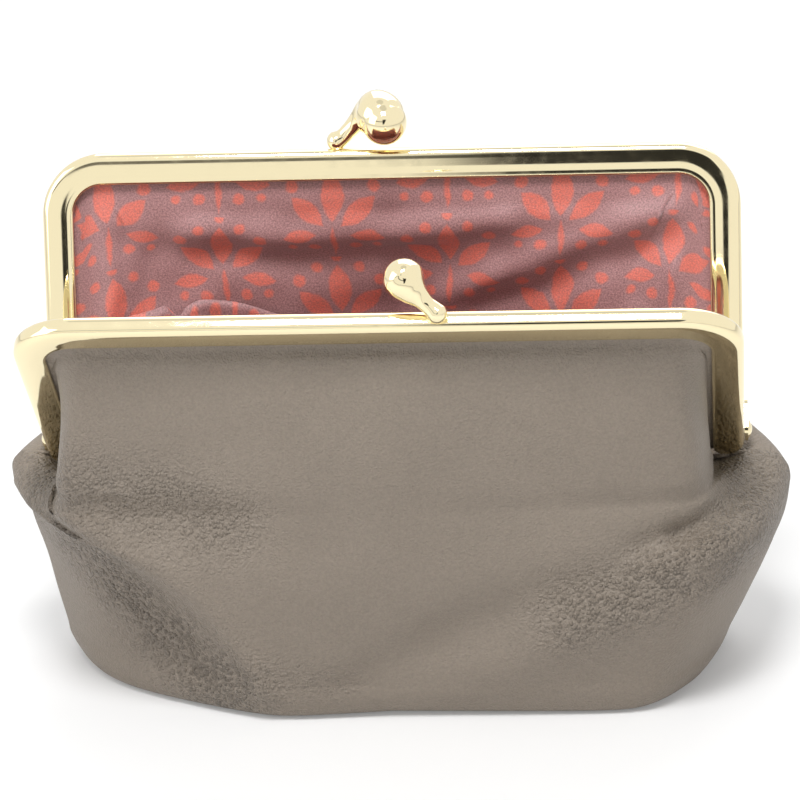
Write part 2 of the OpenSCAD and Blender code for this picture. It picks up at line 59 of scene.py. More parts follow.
# Sizes are in millimetres unless a name or comment says otherwise
MM = 0.001
FRONT, BACK = -1, 1
SIDE_NAME = {FRONT: "front", BACK: "back"}
BODY = {FRONT: "front_half", BACK: "back_half"}
LEAN = {FRONT: math.radians(43.7), BACK: math.radians(14.6)}
HINGE_Z = 50.0
HALF_W = 76.0
FRAME_H = 62.3
CORNER_R = 13.5
FACE_W = 6.8
CHANNEL_T = 4.6
MATE_GAP = 0.15
STRIP_T = 0.75
PANEL_CLEAR = 0.2
MOUTH_CLEAR = 1.0
CORNER_X = HALF_W - CORNER_R
CORNER_V = FRAME_H - CORNER_R
PANEL_Q = CHANNEL_T + MATE_GAP - STRIP_T - PANEL_CLEAR
MOUTH_X = HALF_W - FACE_W - MOUTH_CLEAR
SEAM_Y = -5.0
NOTCH_Z = 43.8
FOOT_R = 4.0
LEATHER_T = 0.8
FLEECE_T = 0.3
LINING_DEPTH = 1.4
LINING_T = 0.3
POCKET_T = 0.35
# Three points turn each row's end in: widths of the seam allowance, and of the tuck into the channel
SEAM_STEPS = np.array([4.8, 1.6, 0.5])
TUCK_STEPS = np.array([5.6, 2.5, 0.9])


# Small helpers

def smooth(a, b, x):
    """0 before a, 1 after b, and smooth between."""
    t = np.clip((x - a) / (b - a), 0, 1)
    return t * t * (3 - 2 * t)


def on_half(side, x, v, q):
    """A place in a frame half: across x, up the leg v, outwards q, in millimetres."""
    x, v, q = np.broadcast_arrays(x, v, q)
    c, s = math.cos(LEAN[side]), math.sin(LEAN[side])
    return np.stack([x, side * (q * c + v * s), HINGE_Z + v * c - q * s], -1)


def in_half(side, net):
    """How far up the leg (v) and outwards (q) points lie in a frame half."""
    c, s = math.cos(LEAN[side]), math.sin(LEAN[side])
    y, z = side * net[..., 1], net[..., 2] - HINGE_Z
    return y * s + z * c, y * c - z * s


def catmull_rom(knots, values, at):
    """Smooth curve through values at knots; values may be arrays."""
    knots, values, at = np.asarray(knots, float), np.asarray(values, float), np.asarray(at, float)
    slope = np.zeros_like(values)
    column = (-1,) + (1,) * (values.ndim - 1)
    step = np.diff(knots).reshape(column)
    chord = np.diff(values, axis=0) / step
    slope[1:-1] = (chord[1:] * step[:-1] + chord[:-1] * step[1:]) / (step[:-1] + step[1:])
    slope[0], slope[-1] = chord[0], chord[-1]
    k = np.clip(np.searchsorted(knots, at, side="right") - 1, 0, len(knots) - 2)
    h = (knots[k + 1] - knots[k]).reshape(column)
    t = (at - knots[k]).reshape(h.shape) / h
    a, b = values[k], values[k + 1]
    return ((2 * t**3 - 3 * t**2 + 1) * a + (t**3 - 2 * t**2 + t) * h * slope[k]
            + (3 * t**2 - 2 * t**3) * b + (t**3 - t**2) * h * slope[k + 1])


def of_kind(geometry, kind):
    """The verts or the edges among what an operator made."""
    return [g for g in geometry if isinstance(g, kind)]


def pull(bm, edges):
    """Grows faces from open edges, and gives their new verts and edges to be moved."""
    made = bmesh.ops.extrude_edge_only(bm, edges=edges)["geom"]
    return of_kind(made, BMVert), [e for e in of_kind(made, BMEdge) if len(e.link_faces) == 1]


def new_object(name, bm, material, sharp=None):
    """Makes a smooth object of a bmesh, with its normals outwards."""
    bmesh.ops.recalc_face_normals(bm, faces=bm.faces)
    for face in bm.faces:
        face.smooth = True
    if sharp is not None:
        for edge in bm.edges:
            if len(edge.link_faces) == 2 and edge.calc_face_angle(0) > math.radians(sharp):
                edge.smooth = False
    mesh = bpy.data.meshes.new(name)
    bm.to_mesh(mesh)
    bm.free()
    mesh.materials.append(material)
    obj = bpy.data.objects.new(name, mesh)
    bpy.context.collection.objects.link(obj)
    return obj


# Shape of the bag

# Half width of the bag at heights, on the left (-1) and the right (1)
WIDTHS = {
    -1: ([0, 5, 15, 23, 31, 38, 42, 44], [72.0, 73.4, 76.0, 77.7, 80.2, 82.3, 83.6, 84.2]),
    1: ([0, 4.3, 9, 14, 20, 26, 32, 38, 44], [68.5, 71.2, 73.8, 76.4, 79.6, 82.4, 84.8, 85.7, 84.4]),
}
# How far the middle of each panel stands from the hinge axis at heights
REACHES = {
    FRONT: ([0, 8, 20, 38, 56], [38.0, 40.0, 42.0, 44.0, 44.0]),
    BACK: ([0, 8, 20, 38, 56], [22.5, 26.0, 28.2, 29.0, 28.5]),
}
# Ends of the rows over the two ears beside the hinges
EARS = {
    -1: [(83.8, 40.5), (84.8, 43.2), (84.2, 45.6), (82.0, 47.3), (78.3, 47.4), (74.2, 45.6)],
    1: [(85.9, 39.5), (85.2, 42.0), (83.2, 44.0), (80.2, 45.0), (77.0, 45.2), (74.0, 44.6)],
}
# Where each row turns from the side to the face, as (z, side x, side y, corner x, corner y)
TURNS = {
    (-1, FRONT): [
        (0, 68.5, -23, 27, -41), (9, 68, -22.5, 29.5, -41.5), (23, 69, -24, 35, -42.3),
        (31, 71.5, -25, 42, -42.8), (38, 75, -26, 53, -42.3), (42, 77, -25, 62, -41),
    ],
    (1, FRONT): [
        (0, 68.5, -22, 56, -39), (9, 72, -22, 59, -40), (20, 77.5, -23, 64, -41.8),
        (31, 82, -22, 68, -42), (38, 83, -22, 69.5, -41.5), (42, 81, -22, 69.5, -41),
    ],
    (-1, BACK): [
        (0, 76, 6, 62, 24), (9, 79.5, 7, 66, 27), (20, 82.5, 8, 68, 29),
        (31, 85.5, 9, 70, 30), (42, 86.5, 10, 71, 30),
    ],
    (1, BACK): [
        (0, 76.5, 6, 62, 24), (9, 80.5, 7, 66, 27), (20, 84.5, 8, 68, 29),
        (31, 88, 9, 70, 30), (42, 86.5, 10, 71, 30),
    ],
}
# The same two turns of the row that leaves the frame's leg, then of the first row above it
LEAVING = {
    (-1, FRONT): ((71.6, -14, 46.0), (71.2, -37.5, 47.5), (71.6, -18, 51.5), (71.4, -39, 52.3)),
    (1, FRONT): ((69.4, -14, 47.0), (68.6, -38.5, 49.5), (69.0, -18, 52.0), (68.6, -39.5, 53.0)),
    (-1, BACK): ((81.5, 11, 54.0), (72.0, 26, 52.5), (78, 14, 58.0), (70.0, 26, 57.0)),
    (1, BACK): ((79.5, 11, 53.5), (72.0, 26, 52.5), (76, 14, 58.0), (70.0, 26, 57.0)),
}
# Where a row's end, its two turns and its middle lie along it, and how soft the two turns are
TURN_AT = (0.0, 0.24, 0.52, 1.0)
SOFT = {FRONT: (0.15, 0.07), BACK: (0.22, 0.20)}
# How far the seam allowances cross behind the seam, for each millimetre of their width
CROSSING = {FRONT: 0.6, BACK: 0.35}
# How far each panel swells between the frame's legs
SWELL = {FRONT: 3.7, BACK: 10.5}


def side_x(hand, z):
    """Half width of the bag at a height."""
    return float(catmull_rom(*WIDTHS[hand], [z])[0])


def middle(side, z):
    """The middle of a panel at a height."""
    return [0, side * float(catmull_rom(*REACHES[side], [z])[0]), z]


def edge_y(side, z):
    """Where a panel's edge lies from front to back, a hair beside the other panel's."""
    return SEAM_Y * max(0.0, 1 - z / NOTCH_Z) + side * 0.05


def foot_inset(z):
    """How far the rounded edge of the foot draws a row in."""
    return 0.0 if z >= FOOT_R else FOOT_R - math.sqrt(FOOT_R**2 - (FOOT_R - z) ** 2)


def edge_strip(side, hand, kind, end):
    """The turned-in edge beside a row's end: a seam allowance, or the tuck into the channel."""
    x, y, z = end
    if kind == "tuck":
        return [[hand * (abs(x) + step), y, z] for step in TUCK_STEPS]
    tilt = math.radians(85 * math.exp(-max(z, 0) / 5))
    taper = 0.3 if kind == "exit" else 1.0
    across = -side * CROSSING[side] * (1 - math.exp(-max(z, 0) / 12)) if kind == "seam" else 0
    out, up = taper * math.cos(tilt), taper * math.sin(tilt)
    return [[hand * (abs(x) - out * step), y + across * step, z + up * step] for step in SEAM_STEPS]


def row(side, hand, end, turns, mid, tau, kind="seam"):
    """Half a row, straight between rounded turns, where tau is 0 at its end and 1 in the middle."""
    points = np.array([end, *turns, mid], float) * [hand, 1, 1]
    runs = np.diff(points, axis=0) / np.diff(TURN_AT)[:, None]
    path = points[0] + runs[0] * tau[:, None]
    for at, soft, before, after in zip(TURN_AT[1:], SOFT[side], runs, runs[1:]):
        bend = (tau - at + np.hypot(tau - at, soft)) / 2
        bend = bend - bend[0] * (1 - tau) - (bend[-1] - (1 - at)) * tau
        path = path + (after - before) * bend[:, None]
    return np.vstack([edge_strip(side, hand, kind, points[0]), path])


def frame_path(side, hand, depth, tau, kind="rim"):
    """Round the frame at a depth below its outer edge: a corner, then along the bar."""
    r = CORNER_R - depth
    a = np.radians(90 * np.clip(tau / TURN_AT[2], 0, 1))
    s = np.clip((tau - TURN_AT[2]) / (1 - TURN_AT[2]), 0, 1)
    curve = on_half(side, hand * (CORNER_X + r * np.cos(a)) * (1 - s), CORNER_V + r * np.sin(a), PANEL_Q)
    out, down = (0, (1.2, 0.8, 0.4)) if kind == "deep" else (TUCK_STEPS, (3, 1.5, 0.6))
    strip = on_half(side, hand * (CORNER_X + r + out), CORNER_V - np.array(down), PANEL_Q)
    return np.vstack([strip, curve])


def foot_rows(side, hand, tau):
    """The seam under the foot: two rows of its allowance inside the bag, then one on the floor."""
    foot, y = side_x(hand, 0) - FOOT_R, edge_y(side, 0)
    flat = np.column_stack([hand * (foot - 3) * (1 - tau), np.full(len(tau), y), np.zeros(len(tau))])
    strip = np.array([[hand * (foot - 3.5 - 0.2 * step), y, step] for step in SEAM_STEPS])
    yield 0, np.vstack([strip + [0, 0, 3.6], flat + [0, 0, 4.0]])
    yield 3.8, np.vstack([strip + [0, 0, 0.6], flat + [0, 0, 0.7]])
    yield 1.2, np.vstack([strip, flat])


def side_rows(side, hand, tau):
    """Rows up the side seam, from the floor to the foot of the ear."""
    table = np.array(TURNS[(hand, side)], float)
    for step, z in zip((28, 2, 2, 2, 7, 7, 7, 7, 7), (0, 0.5, 1.8, 4, 9, 16, 24, 31, 37)):
        turns = catmull_rom(table[:, 0], table[:, 1:], [z])[0].reshape(2, 2)
        shape = np.array([[side_x(hand, z), edge_y(side, z)], *turns, middle(side, z)[:2]])
        shape *= 1 - foot_inset(z) / np.linalg.norm(shape, axis=1, keepdims=True)
        end, *turns, mid = ([*place, z] for place in shape)
        yield step, row(side, hand, end, turns, mid, tau)


def ear_rows(side, hand, tau):
    """Rows over the ear, up to the one that leaves the frame's leg."""
    last = TURNS[(hand, side)][-1]
    lower = np.array([[*last[1:3], 41.0], [*last[3:5], 40.0]])
    upper = np.array(LEAVING[(hand, side)][:2], float)
    ear = EARS[hand]
    for k, (x, z) in enumerate(ear):
        t = k / len(ear)
        mid = middle(side, 40.0 + 9.0 * t)
        yield 4.0, row(side, hand, [x, edge_y(side, z), z], lower * (1 - t) + upper * t, mid, tau)
    leg_foot = on_half(side, MOUTH_X, -4.4, PANEL_Q)
    yield 4.5, row(side, hand, leg_foot, upper, middle(side, 50.0), tau, "exit")


def frame_rows(side, hand, tau):
    """Rows between the frame's legs up to the bar, and the tuck behind it."""
    end = on_half(side, MOUTH_X, 4.6, PANEL_Q)
    mid = np.array(middle(side, 54.0))
    straight = np.array([end * 0.9 + mid * 0.1, end * 0.6 + mid * 0.4])
    leaving = np.array(LEAVING[(hand, side)][2:], float)
    high = frame_path(side, hand, FACE_W + MOUTH_CLEAR, tau)
    spread = np.concatenate([np.zeros(len(TUCK_STEPS)), np.sin(np.pi / 2 * tau)])
    for w in (0.0, 0.07, 0.15, 0.26, 0.42, 0.58, 0.74, 0.88, 1.0):
        stays = 1 - 0.3 * w * w if side == FRONT else math.exp(-w / 0.16)
        low = row(side, hand, end, leaving * stays + straight * (1 - stays), mid, tau, "tuck")
        between = low * (1 - w) + high * w
        between[:, 1] += side * SWELL[side] * w * (1 - w) ** 2 * spread**2
        yield 4.0 if w < 0.2 else 6.5, between
    yield 4.0, frame_path(side, hand, FACE_W - 4.8, tau, "deep")


def bag_rows(side, hand, tau):
    """Key rows of one panel's half, with their places along the panel as knots."""
    parts = (foot_rows, side_rows, ear_rows, frame_rows)
    steps, rows = zip(*(pair for part in parts for pair in part(side, hand, tau)))
    return np.cumsum(steps), np.array(rows)


def fold(p, path, width, height):
    """A soft ridge, or a valley where its height is below 0, along a path of (x, z) points."""
    best = np.full(p.shape[:-1], 1e9)
    x, z = p[..., 0], p[..., 2]
    for (ax, az), (bx, bz) in zip(path, path[1:]):
        dx, dz = bx - ax, bz - az
        t = np.clip(((x - ax) * dx + (z - az) * dz) / (dx * dx + dz * dz), 0, 1)
        best = np.minimum(best, np.hypot(x - ax - t * dx, z - az - t * dz))
    return height * np.exp(-(best / width) ** 2)


def hash_noise(p, scale, seed):
    """Smooth value noise at points p, from -1 to 1."""
    g = p / scale
    base = np.floor(g).astype(int)
    f = g - base
    f = f * f * (3 - 2 * f)
    total = np.zeros(p.shape[:-1])
    for corner in range(8):
        o = np.array([(corner >> k) & 1 for k in range(3)])
        n = (base + o) @ np.array([374761393, 668265263, 2147483629]) + seed * 1274126177
        n = (n ^ (n >> 13)) * 1103515245 & 0x7FFFFFFF
        total += (n % 65536 / 32767.5 - 1) * np.prod(np.where(o, f, 1 - f), axis=-1)
    return total


# Folds as (path of x and z, width, height), where a valley's height is below 0
FOLDS = {
    FRONT: (
        ([(-71, 46), (-60, 43), (-53, 38), (-42, 31.6), (-34.6, 23), (-28, 10), (-25, 1)], 3.0, 1.3),
        ([(-74, 38), (-62, 33), (-50, 22), (-42, 8)], 5.0, -0.9),
        ([(-84, 43), (-79, 42), (-74, 43), (-70, 45)], 2.0, 0.9),
        ([(-66, 36), (-56, 27), (-48, 14)], 7.0, -1.5),
        ([(-70, 49.5), (-57, 51)], 1.3, -0.6),
        ([(68, 48.5), (76, 47), (84, 44)], 1.8, 0.8),
        ([(54, 40.5), (66, 43.4)], 2.6, -1.1),
        ([(62, 42.4), (70, 44.2), (80, 43.6)], 2.2, -1.7),
        ([(54, 34.5), (66, 38), (78, 38)], 3.6, 1.2),
        ([(10, 20), (36, 30), (60, 40)], 6.0, -1.6),
        ([(24, 14), (50, 24), (72, 33)], 7.0, 1.2),
        ([(-14, 3), (0, 14), (24, 18)], 5.0, -0.8),
        ([(-16, 40), (-44, 46)], 8.0, -0.7),
        ([(-30, 66), (-58, 56)], 6.0, -0.6),
    ),
    BACK: (
        ([(-84, 36), (-66, 26), (-40, 18)], 6.0, -1.2),
        ([(84, 34), (60, 30), (36, 22)], 6.0, -1.4),
        ([(-50, 60), (-20, 74), (10, 92)], 8.0, -0.9),
        ([(62, 58), (40, 76), (26, 92)], 8.0, -0.8),
    ),
}
# Unevenness besides the folds, as (height, size, seed); points are squeezed so that it runs front to back
UNEVEN = {FRONT: (0.3, 14.0, 3), BACK: (0.4, 16.0, 8)}
SQUEEZE = np.array([1, 0.3, 1])


def folded(p, folds):
    """How far points stand out or sink in by all folds."""
    return sum(fold(p, *one) for one in folds)


def panel_points(side, across, up, depth=0.0):
    """Net of points of one panel, at a depth below the leather's outer face."""
    tau = np.linspace(0, 1, across)
    halves = []
    for hand in (-1, 1):
        knots, rows = bag_rows(side, hand, tau)
        halves.append(catmull_rom(knots, rows, np.linspace(knots[0], knots[-1], up)))
    left, right = halves
    net = np.concatenate([left, right[:, ::-1][:, 1:]], axis=1)
    net[:, :, 2] = np.maximum(net[:, :, 2], 0)
    height, size, seed = UNEVEN[side]
    relief = folded(net, FOLDS[side]) + height * hash_noise(net * SQUEEZE, size, seed)
    relief *= smooth(2, 9, net[:, :, 2]) * free_of_frame(net, side)
    net = net + net_normals(net, side) * relief[..., None]
    return inner_net(net, side, depth) if depth else net


def inner_net(net, side, depth):
    """A layer inside the leather, slimmer low down and lower under the frame's leg."""
    slimmer, slimmer_at_leg, lower_at_leg = 0.032, 0.06, 2.4
    x, y, z = np.moveaxis(net - softened(net_normals(net, side)) * depth, -1, 0)
    under_leg = np.exp(-(((z - 47) / 5) ** 2)) * smooth(58, 68, np.abs(x))
    shrink = 1 - (slimmer * (1 - smooth(56, 78, z)) + slimmer_at_leg * under_leg)
    z = np.maximum(z - lower_at_leg * under_leg, depth)
    return np.stack([x * shrink, SEAM_Y + (y - SEAM_Y) * shrink, z], -1)


def free_of_frame(net, side):
    """1 on the free part of a panel, 0 in the channel and on the seam allowances."""
    v, q = in_half(side, net)
    top = 1 - smooth(FRAME_H - 16, FRAME_H - 8.3, v)
    beside = 1 - (1 - smooth(5.5, 10, q)) * smooth(-6, 2, v) * smooth(60, 67, np.abs(net[..., 0]))
    edge = np.ones(net.shape[1])
    edge[:4] = edge[-4:] = 0
    edge[4:8] = edge[-8:-4][::-1] = np.linspace(0.2, 0.8, 4)
    return top * beside * edge


def net_normals(net, side):
    """Normals of a net's points, out of the bag."""
    n = np.cross(np.gradient(net, axis=1), np.gradient(net, axis=0))
    n /= np.maximum(np.linalg.norm(n, axis=-1, keepdims=True), 1e-9)
    centre = n[net.shape[0] // 2, net.shape[1] // 2]
    return n if centre[1] * side > 0 else -n


def softened(n, times=3):
    """Normals averaged with their neighbours, so that an inner layer stays clear of sharp bends."""
    for _ in range(times):
        wide = np.pad(n, ((1, 1), (1, 1), (0, 0)), mode="edge")
        n = (wide[:-2, 1:-1] + wide[2:, 1:-1] + wide[1:-1, :-2] + wide[1:-1, 2:] + 2 * n) / 6
    return n / np.linalg.norm(n, axis=-1, keepdims=True)


def cloth(name, net, thick, material, side, attributes=None):
    """A sheet of even thickness on a net of points, made from a grid whose points come in the same order."""
    rows, cols = net.shape[:2]
    bm = bmesh.new()
    bmesh.ops.create_grid(bm, x_segments=cols - 1, y_segments=rows - 1, size=1)
    outer = net.reshape(-1, 3) * MM
    under = (net - net_normals(net, side) * thick).reshape(-1, 3) * MM
    lengths = np.stack(lengths_along(net), -1).reshape(-1, 2) * MM
    uv = bm.loops.layers.uv.new("UVMap")
    for key, values in (attributes or {}).items():
        layer = bm.verts.layers.float.new(key)
        for vert, value in zip(bm.verts, values.reshape(-1)):
            vert[layer] = value
    number = bm.verts.layers.int.new("number")
    for k, vert in enumerate(bm.verts):
        vert.co = outer[k]
        vert[number] = k
        for loop in vert.link_loops:
            loop[uv].uv = lengths[k]
    grown = bmesh.ops.extrude_face_region(bm, geom=bm.faces[:], use_keep_orig=True)["geom"]
    for vert in of_kind(grown, BMVert):
        vert.co = under[vert[number]]
    bm.verts.layers.int.remove(number)
    return new_object(name, bm, material)


def lengths_along(net):
    """Distance across from the middle and up from the bottom seam, in millimetres."""
    du = np.linalg.norm(np.diff(net, axis=1), axis=-1)
    across = np.concatenate([np.zeros((net.shape[0], 1)), np.cumsum(du, axis=1)], axis=1)
    across -= across[:, net.shape[1] // 2][:, None]
    dv = np.linalg.norm(np.diff(net[:, net.shape[1] // 2], axis=0), axis=-1)
    up = np.concatenate([[0], np.cumsum(dv)])
    return across, np.repeat(up[:, None], net.shape[1], axis=1)


def held(net):
    """Takes the steps between neighbouring points of a net, across and up, and gives nothing back."""
    du = np.diff(net, axis=1)[:-1]
    dv = np.diff(net, axis=0)[:, :-1]


# The bend's start at the side seam and its height, in metres, and its rise for each metre out
BENDS = {FRONT: (0.020, 0.045, 0.0), BACK: (0.002, 0.060, 0.4)}


def soft(obj, side, node, slot):
    """Lets a soft piece stand for its node: hides that node and bakes the piece's transform into its mesh.
    """
    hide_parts(node)
    seam_low, length, rise = BENDS[side]
    up = Vector((0, -side * rise, 1))
    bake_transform(obj)


# Shader sums written as ordinary sums

def feed(tree, socket, value):
    """Links a value to a socket, or writes a constant into it."""
    if isinstance(value, Value):
        tree.links.new(value.source, socket)
    else:
        socket.default_value = value


class Value:
    """A number in a shader tree, which can be added, multiplied and compared."""

    def __init__(self, tree, source):
        self.tree, self.source = tree, source

    def node(self, kind, *inputs, **settings):
        node = self.tree.nodes.new(kind)
        for key, value in settings.items():
            setattr(node, key, value)
        for socket, value in zip(node.inputs, inputs):
            feed(self.tree, socket, value)
        return node

    def maths(self, operation, *inputs):
        return Value(self.tree, self.node("ShaderNodeMath", *inputs, operation=operation).outputs[0])

    def __add__(self, other):
        return self.maths("ADD", self, other)

    def __sub__(self, other):
        return self.maths("SUBTRACT", self, other)

    def __rsub__(self, other):
        return self.maths("SUBTRACT", other, self)

    def __mul__(self, other):
        return self.maths("MULTIPLY", self, other)

    def __truediv__(self, other):
        return self.maths("DIVIDE", self, other)

    def __abs__(self):
        return self.maths("ABSOLUTE", self)

    def floor(self):
        return self.maths("FLOOR", self)

    def root(self):
        return self.maths("SQRT", self)

    def cell(self, size):
        """Distance from the middle of cells of that size."""
        return self.maths("MODULO", self.maths("MODULO", self, size) + size, size) - size / 2

    def smaller(self, other):
        return self.maths("MINIMUM", self, other)

    def ramp(self, low, high):
        """0 at low, 1 at high, smooth between and clamped."""
        node = self.node("ShaderNodeMapRange", self, low, high, 0.0, 1.0, interpolation_type="SMOOTHSTEP")
        return Value(self.tree, node.outputs[0])


class Finish:
    """A material under construction, with its Principled shader."""

    def __init__(self, name, **constants):
        self.material = bpy.data.materials.new(name)
        self.material.use_nodes = True
        self.tree = self.material.node_tree
        self.shader = self.tree.nodes["Principled BSDF"]
        for key, value in constants.items():
            self.set(key.replace("_", " ").title(), value)
        self.zero = Value(self.tree, None)

    def set(self, socket, value):
        feed(self.tree, self.shader.inputs[socket], value)

    def place(self, kind="Object"):
        """The coordinates in millimetres, together and one by one."""
        node = self.tree.nodes.new("ShaderNodeTexCoord")
        scaled = self.zero.node("ShaderNodeVectorMath", Value(self.tree, node.outputs[kind]),
                                (1 / MM, 1 / MM, 1 / MM), operation="MULTIPLY")
        where = Value(self.tree, scaled.outputs[0])
        parts = self.zero.node("ShaderNodeSeparateXYZ", where)
        return where, [Value(self.tree, o) for o in parts.outputs]

    def texture(self, kind, where, output, **sockets):
        node = self.zero.node(kind, where)
        for name, value in sockets.items():
            node.inputs[name].default_value = value
        return Value(self.tree, node.outputs[output])

    def noise(self, where, scale, detail=2.0, roughness=0.5, distortion=0.0):
        return self.texture("ShaderNodeTexNoise", where, 0, Scale=scale, Detail=detail,
                            Roughness=roughness, Distortion=distortion)

    def cells(self, where, scale):
        return self.texture("ShaderNodeTexVoronoi", where, "Distance", Scale=scale)

    def attribute(self, name):
        node = self.tree.nodes.new("ShaderNodeAttribute")
        node.attribute_name = name
        return Value(self.tree, node.outputs["Fac"])

    def blend_colour(self, share, *colours):
        node = self.zero.node("ShaderNodeMix", share, data_type="RGBA")
        for socket, colour in zip(node.inputs[6:8], colours):
            feed(self.tree, socket, colour if isinstance(colour, Value) else (*colour, 1))
        return Value(self.tree, node.outputs[2])

    def bump(self, height, distance, strength=1.0):
        node = self.zero.node("ShaderNodeBump", strength, distance)
        feed(self.tree, node.inputs["Height"], height)
        self.tree.links.new(node.outputs[0], self.shader.inputs["Normal"])


# Finishes

def toned(colour, factor):
    """A colour made darker or lighter."""
    return tuple(min(1.0, c * factor) for c in colour)


def gold_finish(colour):
    """Mirror-polished pale gold plating with the faintest wear."""
    finish = Finish("polished_gold", metallic=1.0, base_color=(*colour, 1))
    where, _ = finish.place()
    wear = finish.noise(where, 0.35, 3.0)
    finish.set("Roughness", wear.ramp(0.3, 0.8) * 0.05 + 0.045)
    return finish.material


def leather_finish(colour):
    """Soft matt leather: fine grain all over, pebbles and creases where it is crushed, and painted shade
    between the pebbles.
    """
    finish = Finish("taupe_leather")
    where, _ = finish.place()
    crush = finish.attribute("crush")
    pucker = finish.attribute("pucker")
    tiny = finish.noise(where, 3.6, 3.0, 0.6)
    pebble = 1 - finish.cells(where, 1.1).ramp(0.05, 0.7)
    small = 1 - finish.cells(where, 1.9).ramp(0.05, 0.75)
    crease = abs(finish.noise(where, 0.30, 3.0, 0.6, 0.8) - 0.5).ramp(0.0, 0.07)
    height = small * (crush * 0.16 + 0.10) + tiny * 0.10 + pebble * crush * 0.9
    height = height + crease * (pucker * 0.08 + crush * 0.12)
    finish.bump(height, 0.00105, 1.0)
    mottle = finish.noise(where, 0.045, 3.0, 0.55)
    speck = finish.noise(where, 1.6, 3.0, 0.7)
    tone = mottle.ramp(0.3, 0.7) * 0.25 + speck.ramp(0.3, 0.7) * 0.75
    shade = finish.blend_colour(tone, toned(colour, 0.90), toned(colour, 1.10))
    # Painted shade: a darker copy of the leather is blended faintly into the crevices between the pebbles
    # where it is crushed.
    finish.set("Base Color", finish.blend_colour((1 - pebble) * crush * 0.05, shade, toned(colour, 0.7)))
    finish.set("Roughness", tiny * 0.18 + 0.42 - crush * 0.07)
    finish.set("Specular IOR Level", 0.42)
    return finish.material


def leaf(u, v, length, width):
    """A pointed oval, below 0 inside, standing along u."""
    return abs(v) - (1 - (u / length) * (u / length)) * width


# The sprig's side leaves as (angle, distance, half length, half width), and its dots as (x, y, radius)
SPRIG_PITCH = 25.0
LEAVES = ((42, 7.4, 4.6, 2.1), (-8, 7.6, 3.6, 1.5))
DOTS = ((0, 12.3, 1.0), (4.6, 9.6, 1.15), (8.9, 6.6, 1.3), (4.4, -8.6, 1.2), (9.3, -8.4, 0.9))


def sprigs(u, v):
    """A half-drop repeat of five-leaved sprigs and dots, below 0 inside them."""
    column = (u / SPRIG_PITCH).floor()
    drop = (column - (column / 2).floor() * 2) * (SPRIG_PITCH / 2)
    x, y = u.cell(SPRIG_PITCH), (v + drop).cell(SPRIG_PITCH)
    mirrored = abs(x)
    shapes = leaf(y - 4.6, x, 5.6, 2.4)
    for degrees, away, half_long, half_wide in LEAVES:
        a = math.radians(degrees)
        along = mirrored * math.cos(a) + (y + 4) * math.sin(a)
        over = (y + 4) * math.cos(a) - mirrored * math.sin(a)
        shapes = shapes.smaller(leaf(along - away, over, half_long, half_wide))
    shapes = shapes.smaller(leaf(y + 7.0, x, 4.2, 0.6))
    for dot_x, dot_y, radius in DOTS:
        across, up = mirrored - dot_x, y - dot_y
        shapes = shapes.smaller((across * across + up * up).root() - radius)
    return shapes


def satin_finish(ground, print_colour):
    """Plum satin with a print of sprigs and dots."""
    finish = Finish("printed_satin", sheen_weight=0.25, sheen_roughness=0.4)
    where, (u, v, _) = finish.place("UV")
    wobble = finish.noise(where, 0.11, 2.0) - 0.5
    shapes = sprigs(u + wobble * 1.2, v + wobble * 0.9)
    grain = finish.noise(where, 2.6, 4.0, 0.75)
    ragged = finish.noise(where, 0.5, 3.0, 0.6) - 0.5
    ink = 1 - (shapes + ragged * 0.9).ramp(-0.3, 0.45)
    speckle = grain.ramp(0.34, 0.66)
    patchy = finish.noise(where, 0.9, 3.0).ramp(0.2, 0.75) * 0.25 + speckle * 0.2 + 0.55
    paint = finish.blend_colour(speckle, toned(print_colour, 0.72), print_colour)
    weave = finish.blend_colour(speckle, toned(ground, 0.62), toned(ground, 1.4))
    finish.set("Base Color", finish.blend_colour(ink * patchy, weave, paint))
    finish.set("Roughness", speckle * 0.2 + 0.32)
    finish.bump(grain + finish.noise(where, 1.1, 2.0) * 0.6, 0.00016, 0.7)
    return finish.material


def plain_finish(name, colour, roughness, scale):
    """Dull thread, paper or fleece with a fine fibre."""
    finish = Finish(name)
    where, _ = finish.place()
    fibre = finish.noise(where, scale, 3.0, 0.6)
    finish.set("Base Color", finish.blend_colour(fibre, toned(colour, 0.8), toned(colour, 1.15)))
    finish.set("Roughness", fibre * 0.2 + roughness - 0.1)
    finish.bump(fibre, 0.0001, 0.4)
    return finish.material


# Metal parts

def arc(centre, radius, start, end, steps):
    """Points of an arc from one angle to another, in degrees."""
    angles = [math.radians(start + (end - start) * k / steps) for k in range(steps + 1)]
    return [(centre[0] + radius * math.cos(a), centre[1] + radius * math.sin(a)) for a in angles]


